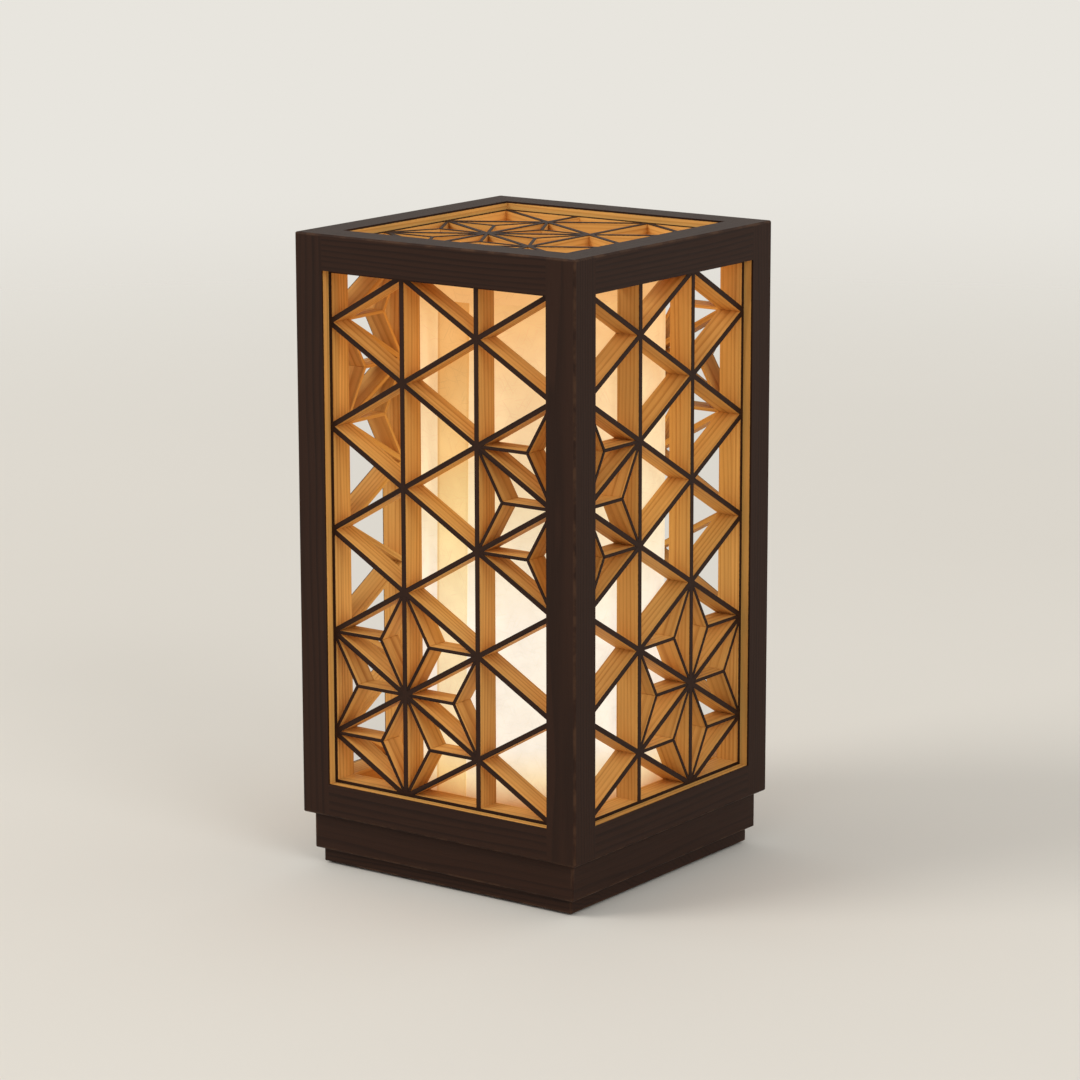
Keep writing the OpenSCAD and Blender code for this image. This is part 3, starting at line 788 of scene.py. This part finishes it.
def paper_material(radius, low, high):
    """Handmade paper with long fibres, lit from inside, that lets less light through where it is doubled."""
    look = finishes()
    material, shader, place = new_material("lit_paper", look.paper, Roughness=0.85, Specular_IOR_Level=0.2,
                                           Emission_Strength=look.glow_strength)
    sheet = put(place.tree, "ShaderNodeUVMap")
    cloud = ramp_between(noise(sheet, 95.0, 4.0, 0.6), 0.3, 0.7, -1.0, 1.0)
    fibres = paper_fibres(sheet)
    arc = split(sheet)[0]
    circle = 2 * pi * radius
    # The sheet's end rises over its beginning just before a full turn
    lap_start = circle - 0.6 * MM
    doubled = (arc < sizes().lap_width).or_more(arc > lap_start)
    seam = ramp_between(abs(arc - circle), 0.3 * MM, 1.1 * MM, 1.0, 0.0)
    share = ramp_between(split(place)[2], low, high, smooth=False)
    lit = paper_glow(share) * (0.97 + (cloud * 0.045 - fibres * 0.085))
    # Doubled paper is dimmer, and least so level with the bulb
    dimmed = blend(ramp_between(share, 0.45, 0.9), (1.0, 0.87, 0.6), (0.8, 0.6, 0.32))
    lit = blend(doubled, lit, lit * dimmed)
    lit = blend(seam, lit, lit * (0.84, 0.74, 0.64))
    # The inner face is dimmer, because the paper also lights itself in there
    middle_of_wall = radius - 0.23 * MM
    inner = (place * (1, 1, 0)).length() < middle_of_wall
    lit = blend(inner, lit, lit * (0.8, 0.73, 0.7))
    day = blend(fibres * 0.5, look.paper, darker(look.paper, 0.86))
    day = blend(doubled, day, day * (0.95, 0.87, 0.74))
    fill(shader, Base_Color=day, Emission_Color=lit, Normal=bump(fibres + cloud * 0.4, 0.05 * MM, 0.5))
    return material


class MakePaperTube(Operator):
    """Rolls the paper tube from one sheet, with its glued lap"""
    bl_idname = "kumiko_lamp.make_paper_tube"
    bl_label = "Make the paper tube"

    def execute(self, context):
        size = sizes()
        low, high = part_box("paper_tube")
        # The sheet stays just inside both faces of the solid
        outer_inset, inner_inset = 0.02 * MM, 0.03 * MM
        radius = high.x - outer_inset
        mesh = grow([(0, 0, 0)], paper_tree(), {
            "Radius": radius, "Height": high.z - low.z, "Foot": low.z,
            "Paper Thickness": size.paper_thickness, "Lap Width": size.lap_width, "Lap Angle": size.lap_angle,
            "Lap Lean": size.lap_lean, "Ripple": size.ripple, "Seed": 4,
            "Finish": paper_material(radius, low.z, high.z)})
        piece = new_piece("paper_sheet", mesh, "shade", "paper_tube")
        wall = piece.modifiers.new("wall", "SOLIDIFY")
        wall.thickness = size.paper_thickness - outer_inset - inner_inset
        wall.offset = -1
        return {"FINISHED"}


# Plinth, pads and screws

def centred_grain(along, outward):
    """Grain of a board on the lamp's axis, which lies whole in one cell, for wood_material."""
    return straight_grain(along, outward, (1, 1, 1), (0.5, 0.5, 0.5))


class FinishBase(Operator):
    """Gives the plinth, the foot, the locating board and the collar their wood"""
    bl_idname = "kumiko_lamp.finish_base"
    bl_label = "Finish the plinth and the foot"

    def execute(self, context):
        low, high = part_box("plinth_front_batten")
        wear = edge_wear(high.x, low.z, high.z)
        # The battens and the foot take the painted shade all over, like the lantern's outward faces
        batten = wood_material("shaded_batten_wood", straight_grain(ACROSS, FRONT), 1.0, wear)
        side_batten = wood_material("shaded_side_batten_wood", straight_grain(DEEP, ACROSS), 1.0, wear)
        low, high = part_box("foot_board")
        wear = edge_wear(high.x, low.z, high.z)
        foot = wood_material("shaded_foot_wood", centred_grain(ACROSS, UP), 1.0, wear)
        board = wood_material("bare_board_wood", centred_grain(ACROSS, UP), 0.0)
        collar = wood_material("bare_collar_wood", centred_grain(UP, FRONT), 0.0)
        woods = {"plinth_front_batten": batten, "plinth_back_batten": batten, "foot_board": foot,
                 "plinth_side_battens": side_batten, "plinth_panel": board, "locating_board": board,
                 "tube_collar": collar}
        for node, wood in woods.items():
            dress(node, wood)
        return {"FINISHED"}


def pad_tree():
    """A felt pad on each point, with a rounded rim and loose fibres round it."""
    tree, given, out = new_tree("felt_pads", "Radius", "Thickness", "Fuzz")
    disc = put(tree, "GeometryNodeMeshCylinder", 96, 6, 5, 1.0, 1.0, fill_type="TRIANGLE_FAN")
    place = point_place(tree)
    x, y, z = split(place)
    rim = abs(z * 2.0) ** 3.0 * 0.05
    loose = noise(place * (26, 26, 5), detail=3.0, roughness=0.7)
    outer = given["Radius"] - loose * given["Fuzz"] - rim * given["Radius"]
    pad = move_to(disc, combine(x * outer, y * outer, (z + 0.5) * given["Thickness"]))
    return end_tree(instances(given["Geometry"], pad, random_value(given["Seed"], 2 * pi)), given, out)


def felt_material():
    material, shader, place = new_material("brown_felt", screen(84, 68, 52), Roughness=0.95,
                                           Specular_IOR_Level=0.05, Sheen_Weight=0.15, Sheen_Roughness=0.6)
    wool = noise(place, 1400.0, 5.0, 0.7)
    fill(shader, Base_Color=blend(ramp_between(wool, 0.3, 0.7), screen(46, 36, 27), screen(124, 102, 80)),
         Normal=bump(wool, 0.3 * MM))
    return material


class MakeFeltPads(Operator):
    """Makes the four felt pads under the foot"""
    bl_idname = "kumiko_lamp.make_felt_pads"
    bl_label = "Make the felt pads"

    def execute(self, context):
        size = sizes()
        low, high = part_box("felt_pads")
        reach = high.x - size.pad_radius
        points = [(x * reach, y * reach, low.z) for x in (-1, 1) for y in (-1, 1)]
        mesh = grow(points, pad_tree(), {"Radius": size.pad_radius, "Thickness": high.z - low.z,
                                         "Fuzz": size.pad_fuzz, "Seed": 2, "Finish": felt_material()})
        new_piece("soft_pads", mesh, "base", "felt_pads")
        return {"FINISHED"}


def screw_tree():
    """A cross head screw on each point, driver side down, each turned its own way."""
    tree, given, out = new_tree("cross_head_screws", "Face Radius", "Under Radius", "Head Height",
                                "Shank Radius", "Length", "Slot Width", "Slot Depth")
    head = put(tree, "GeometryNodeMeshCone", 48, 1, 1, given["Under Radius"], given["Face Radius"],
               given["Head Height"])
    shank_start = given["Head Height"] / 2.0
    shank_length = given["Length"] - shank_start
    shank = put(tree, "GeometryNodeMeshCylinder", 32, 1, 1, given["Shank Radius"], shank_length)
    shank = put(tree, "GeometryNodeTransform", Geometry=shank,
                Translation=combine(0.0, 0.0, shank_start + shank_length / 2.0))
    body = add_node(tree, "GeometryNodeMeshBoolean", operation="UNION")
    for part in (head, shank):
        fill(body, Mesh=part)
    arm = given["Face Radius"] * 1.1
    cut = add_node(tree, "GeometryNodeMeshBoolean", result(body), operation="DIFFERENCE")
    for width, depth in ((arm, given["Slot Width"]), (given["Slot Width"], arm)):
        slot_size = combine(width, depth, given["Slot Depth"] * 2.0)
        fill(cut, Mesh_2=put(tree, "GeometryNodeMeshCube", Size=slot_size))
    screws = instances(given["Geometry"], result(cut), random_value(given["Seed"], pi / 2))
    return end_tree(screws, given, out)


def metal_material(name, colour, roughness, turned_lines=0.0):
    """Bare metal with faint stains, and turning lines where it was turned."""
    material, shader, place = new_material(name, colour, Metallic=1.0)
    spots = noise(place, 260.0, 4.0, 0.6)
    fill(shader, Base_Color=blend(ramp_between(spots, 0.35, 0.7), colour, darker(colour, 0.72)),
         Roughness=roughness - 0.06 + spots * 0.16)
    if turned_lines:
        lines = noise(combine(0.0, 0.0, split(place)[2] * 9000.0))
        fill(shader, Normal=bump(lines, turned_lines * MM, 0.5))
    return material


class MakeScrews(Operator):
    """Makes the screws of the foot and of the lamp holder"""
    bl_idname = "kumiko_lamp.make_screws"
    bl_label = "Make the screws"

    def execute(self, context):
        size = sizes()
        tree = screw_tree()
        shared = {"Slot Width": size.slot_width, "Slot Depth": size.slot_depth,
                  "Finish": metal_material("zinc_plated_steel", (0.56, 0.57, 0.58), 0.32)}
        low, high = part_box("foot_screws")
        face = 3.2 * MM
        spots = [(x * (high.x - face), y * (high.y - face), 0) for x in (-1, 1) for y in (-1, 1)]
        mesh = grow(spots, tree, {
            **shared, "Face Radius": face, "Under Radius": 1.6 * MM, "Head Height": 1.6 * MM,
            "Shank Radius": 1.58 * MM, "Length": high.z - low.z, "Seed": 5})
        mesh.transform(Matrix.Translation((0, 0, low.z - min(v.co.z for v in mesh.vertices))))
        new_piece("foot_screw_set", mesh, "base", "foot_screws")
        low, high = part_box("holder_screws")
        under = 3 * MM
        mesh = grow([(x * (high.x - under), 0, 0) for x in (-1, 1)], tree, {
            **shared, "Face Radius": 2.1 * MM, "Under Radius": under, "Head Height": 2 * MM,
            "Shank Radius": 1.48 * MM, "Length": high.z - low.z, "Seed": 9})
        mesh.transform(Matrix.Rotation(pi, 4, "X"))
        mesh.transform(Matrix.Translation((0, 0, high.z - max(v.co.z for v in mesh.vertices))))
        new_piece("holder_screw_set", mesh, "base", "holder_screws")
        return {"FINISHED"}


# Lamp holder, bulb and grommet

def wall_profile(outer, inner, low, high, steps):
    """The points of a thin turned wall: up its outer face and down its inner one."""
    heights = [low + (high - low) * i / steps for i in range(steps + 1)]
    return [(outer, height) for height in heights] + [(inner, height) for height in reversed(heights)]


def roll_thread(mesh, face, low, high, depth):
    """Rolls the lamp thread into the face at one radius, outward, or inward where the depth is negative."""
    pitch = sizes().thread_pitch
    near = 0.1 * MM
    for vertex in mesh.vertices:
        x, y, z = vertex.co
        radius = hypot(x, y)
        if abs(radius - face) > near or not low < z < high:
            continue
        fade = min(1, (z - low) / pitch, (high - z) / pitch)
        turn = 2 * pi * z / pitch - atan2(y, x)
        grown = 1 + depth * fade * 0.5 * (1 - cos(turn)) / radius
        vertex.co = (x * grown, y * grown, z)


def porcelain_material():
    material, shader, place = new_material("white_porcelain", screen(238, 234, 224), Coat_Weight=0.4,
                                           Coat_Roughness=0.06)
    glaze = noise(place, 180.0, 3.0)
    fill(shader, Base_Color=blend(glaze, screen(232, 228, 216), screen(243, 240, 232)),
         Roughness=0.08 + glaze * 0.12, Normal=bump(noise(place, 90.0, 1.0), 0.08 * MM, 0.4))
    return material


class MakeLampHolder(Operator):
    """Makes the porcelain holder and its threaded brass shell, and finishes the contact and terminals"""
    bl_idname = "kumiko_lamp.make_lamp_holder"
    bl_label = "Make the lamp holder"

    def execute(self, context):
        size = sizes()
        low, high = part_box("holder_body")
        shell_low, shell_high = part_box("holder_shell")
        flange, bore = high.x, shell_high.x
        flange_top = low.z + 4 * MM
        barrel = 13.5 * MM
        rivet_hole = 1.5 * MM
        body = turned_mesh([
            (rivet_hole, low.z), (flange, low.z), (flange, flange_top), (barrel, flange_top),
            (barrel, high.z), (bore, high.z), (bore, shell_low.z), (rivet_hole, shell_low.z)])
        piece = new_piece("porcelain_holder", body, "base", "holder_body", porcelain_material())
        soften(piece, size.edge_round)
        brass = metal_material("turned_brass", (0.71, 0.46, 0.17), 0.3, 0.02)
        shell_wall = 0.6 * MM
        inner = bore - shell_wall
        plain_foot, plain_rim = 1.5 * MM, 1 * MM
        shell = turned_mesh(wall_profile(bore, inner, shell_low.z, shell_high.z, 60), 72)
        roll_thread(shell, inner, shell_low.z + plain_foot, shell_high.z - plain_rim, size.thread_depth)
        new_piece("threaded_shell", shell, "base", "holder_shell", brass)
        dress("holder_contact", brass)
        dress("holder_terminals", brass)
        return {"FINISHED"}


def glass_material():
    material, shader, place = new_material("clear_glass", (1.0, 0.98, 0.95), IOR=1.46,
                                           Transmission_Weight=1.0)
    fill(shader, Roughness=noise(place, 120.0, 3.0) * 0.08)
    return material


def black_glass_material():
    material, shader, place = new_material("black_glass", screen(20, 18, 17), Roughness=0.22)
    fill(shader, Base_Color=blend(noise(place, 700.0, 3.0), screen(14, 13, 12), screen(34, 31, 29)))
    return material


def filament_material():
    material, shader, place = new_material("lit_filament", screen(255, 190, 110), Roughness=0.5,
                                           Emission_Strength=finishes().filament_strength)
    fill(shader, Emission_Color=blend(noise(place, 900.0), screen(255, 170, 84), screen(255, 214, 150)))
    return material


def glass_outline(neck, shoulder, globe, middle, low):
    """The glass from its foot up: the neck, a straight flare and the globe."""
    join = radians(30)
    start = Vector((neck, shoulder))
    end = Vector((globe * cos(join), middle - globe * sin(join)))
    flare = [tuple(start.lerp(end, i / 10)) for i in range(1, 10)]
    angles = [-join + (pi / 2 + join) * i / 28 for i in range(28)]
    round_part = [(globe * cos(angle), middle + globe * sin(angle)) for angle in angles]
    return [(neck, low), (neck, shoulder), *flare, *round_part, (0.0, middle + globe)]


class MakeBulb(Operator):
    """Blows the bulb's glass, threads its cap and lights its filament"""
    bl_idname = "kumiko_lamp.make_bulb"
    bl_label = "Make the bulb"

    def execute(self, context):
        low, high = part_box("bulb_glass")
        cap_low, cap_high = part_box("bulb_cap")
        globe, wall = high.x, 0.8 * MM
        middle = high.z - globe
        neck = cap_high.x - 0.4 * MM
        shoulder = cap_high.z + 0.5 * MM
        outer = glass_outline(neck, shoulder, globe, middle, low.z)
        inner = glass_outline(neck - wall, shoulder, globe - wall, middle, low.z)
        glass = glass_material()
        new_piece("blown_glass", turned_mesh(outer + inner[::-1]), "bulb", "bulb_glass", glass)
        cap = turned_mesh(wall_profile(cap_high.x, neck, cap_low.z, cap_high.z, 54), 72)
        plain_foot, plain_rim = 1 * MM, 1.5 * MM
        roll_thread(cap, cap_high.x, cap_low.z + plain_foot, cap_high.z - plain_rim, -sizes().thread_depth)
        plated = metal_material("nickel_brass", (0.74, 0.55, 0.28), 0.26, 0.02)
        new_piece("threaded_cap", cap, "bulb", "bulb_cap", plated)
        dress("bulb_insulator", black_glass_material())
        dress("bulb_contact", metal_material("soft_solder", (0.62, 0.62, 0.6), 0.4))
        dress("bulb_stem", glass)
        dress("bulb_filament", filament_material())
        return {"FINISHED"}


def rubber_material():
    material, shader, place = new_material("black_rubber", screen(26, 25, 24), Roughness=0.62,
                                           Specular_IOR_Level=0.35)
    bloom = noise(place, 500.0, 4.0, 0.65)
    fill(shader, Base_Color=blend(bloom, screen(20, 19, 18), screen(44, 42, 40)),
         Normal=bump(bloom, 0.05 * MM, 0.6))
    return material


class MakeGrommet(Operator):
    """Moulds the rubber grommet in the back of the plinth"""
    bl_idname = "kumiko_lamp.make_grommet"
    bl_label = "Make the grommet"

    def execute(self, context):
        low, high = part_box("cable_grommet")
        flange = high.x
        bore, neck, lip = 3.2 * MM, 4.5 * MM, 5 * MM
        lip_round = 0.35 * MM
        groove_in, groove_out = low.y + 1.5 * MM, high.y - 2 * MM
        mesh = turned_mesh([
            (bore, low.y), (lip, low.y), (lip, groove_in), (neck, groove_in), (neck, groove_out),
            (flange, groove_out), (flange, high.y), (bore, high.y)], 64)
        place = Matrix.Translation((0, 0, (low.z + high.z) / 2))
        mesh.transform(place @ Matrix.Rotation(radians(-90), 4, "X"))
        piece = new_piece("rubber_grommet", mesh, "base", "cable_grommet", rubber_material())
        soften(piece, lip_round, 3)
        return {"FINISHED"}


# The studio

def stage_material(colour, radius):
    """A pale floor that fades into the backdrop, and is clear from below to show the lamp's underside."""
    material, shader, place = new_material("pale_floor", colour, Roughness=0.9, Specular_IOR_Level=0.1)
    tree = material.node_tree
    fill(shader, Base_Color=blend(noise(place, 3.0, 3.0), darker(colour, 0.97), colour))
    seen_from_below = result(tree.nodes.new("ShaderNodeNewGeometry"), "Backfacing")
    faded = ramp_between(place.length(), 0.25 * radius, radius)
    clear = put(tree, "ShaderNodeBsdfTransparent")
    mixed = put(tree, "ShaderNodeMixShader", seen_from_below.or_more(faded), result(shader), clear)
    fill(tree.nodes["Material Output"], Surface=mixed)
    return material


def studio_world(studio):
    """Even daylight on the lamp, and the backdrop's colour wherever a ray sees the world itself."""
    world = bpy.data.worlds.new("pale_studio")
    bpy.context.scene.world = world
    world.use_nodes = True
    tree = world.node_tree
    tree.nodes.clear()
    rays = tree.nodes.new("ShaderNodeLightPath")
    camera, glossy, through = (result(rays, f"Is {ray} Ray") for ray in ("Camera", "Glossy", "Transmission"))
    light = put(tree, "ShaderNodeBackground", (1.0, 0.985, 0.96), studio.daylight)
    seen = put(tree, "ShaderNodeBackground", studio.backdrop, 1.0)
    mixed = put(tree, "ShaderNodeMixShader", camera.or_more(glossy.or_more(through)), light, seen)
    add_node(tree, "ShaderNodeOutputWorld", Surface=mixed)


def soft_light(name, place, width, power, colour):
    """A round light that shines on the middle of the lamp."""
    lamp = bpy.data.lights.new(name, "AREA")
    lamp.shape = "DISK"
    lamp.size = width
    lamp.energy = power
    lamp.color = colour
    holder = add_object(name, lamp)
    holder.location = place
    aim = Vector((0, 0, 0.16))
    holder.rotation_euler = (aim - Vector(place)).to_track_quat("-Z", "Y").to_euler()


def set_camera(studio):
    turn, rise, roll = studio.azimuth, studio.elevation, studio.roll
    back = Vector((sin(turn) * cos(rise), -cos(turn) * cos(rise), sin(rise)))
    right = Vector((cos(turn), sin(turn), 0))
    up = back.cross(right)
    place = right * studio.aim_side + UP * studio.aim_height + back * studio.distance
    camera = bpy.data.cameras.new("camera")
    camera.sensor_width = 36
    camera.lens = studio.lens
    camera.clip_start = 0.05
    camera.clip_end = 60
    holder = add_object("camera", camera)
    rolled = (right * cos(roll) + up * sin(roll), up * cos(roll) - right * sin(roll), back)
    holder.matrix_world = Matrix.Translation(place) @ Matrix(rolled).transposed().to_4x4()
    bpy.context.scene.camera = holder


class SetStudio(Operator):
    """Lays the pale floor, lights the lamp softly and sets the camera"""
    bl_idname = "kumiko_lamp.set_studio"
    bl_label = "Set the studio"

    def execute(self, context):
        studio = context.scene.lamp_studio
        context.scene.view_settings.view_transform = "Standard"
        inner_ring = 0.6
        floor = turned_mesh([(0.0, 0.0), (inner_ring, 0.0), (studio.floor_radius, 0.0)], closed=False)
        # A disc drawn outwards from its middle faces down
        floor.flip_normals()
        floor.materials.append(stage_material(studio.floor, studio.floor_radius))
        add_object("studio_floor", floor)
        studio_world(studio)
        soft_light("key_light", (-2.6, -3.4, 3.8), 2.6, studio.key_power, (1.0, 0.97, 0.93))
        soft_light("fill_light", (3.6, -1.4, 2.2), 2.4, studio.fill_power, (0.96, 0.98, 1.0))
        set_camera(studio)
        return {"FINISHED"}


STEPS = (FinishFrame, FinishLattice, MakeLeaves, MakePaperTube, FinishBase, MakeFeltPads, MakeScrews,
         MakeLampHolder, MakeBulb, MakeGrommet, SetStudio)
GROUPS = {"lamp_finishes": LampFinishes, "lamp_sizes": LampSizes, "lamp_studio": LampStudio}


class KumikoLampPanel(Panel):
    """The lamp's colours, sizes, studio and steps, in the 3D view's sidebar"""
    bl_idname = "VIEW3D_PT_kumiko_lamp"
    bl_label = "Kumiko table lamp"
    bl_space_type = "VIEW_3D"
    bl_region_type = "UI"
    bl_category = "Kumiko lamp"

    def draw(self, context):
        for name, group in GROUPS.items():
            box = self.layout.box()
            for label in group.__annotations__:
                box.prop(getattr(context.scene, name), label)
        for step in STEPS:
            self.layout.operator(step.bl_idname)


def register():
    for item in (*GROUPS.values(), *STEPS, KumikoLampPanel):
        bpy.utils.register_class(item)
    for name, group in GROUPS.items():
        setattr(bpy.types.Scene, name, PointerProperty(type=group))


def unregister():
    for name in GROUPS:
        delattr(bpy.types.Scene, name)
    for item in (KumikoLampPanel, *reversed(STEPS), *reversed(list(GROUPS.values()))):
        bpy.utils.unregister_class(item)


def main():
    register()
    for step in STEPS:
        group, name = step.bl_idname.split(".")
        getattr(getattr(bpy.ops, group), name)()


if __name__ == "__main__":
    main()
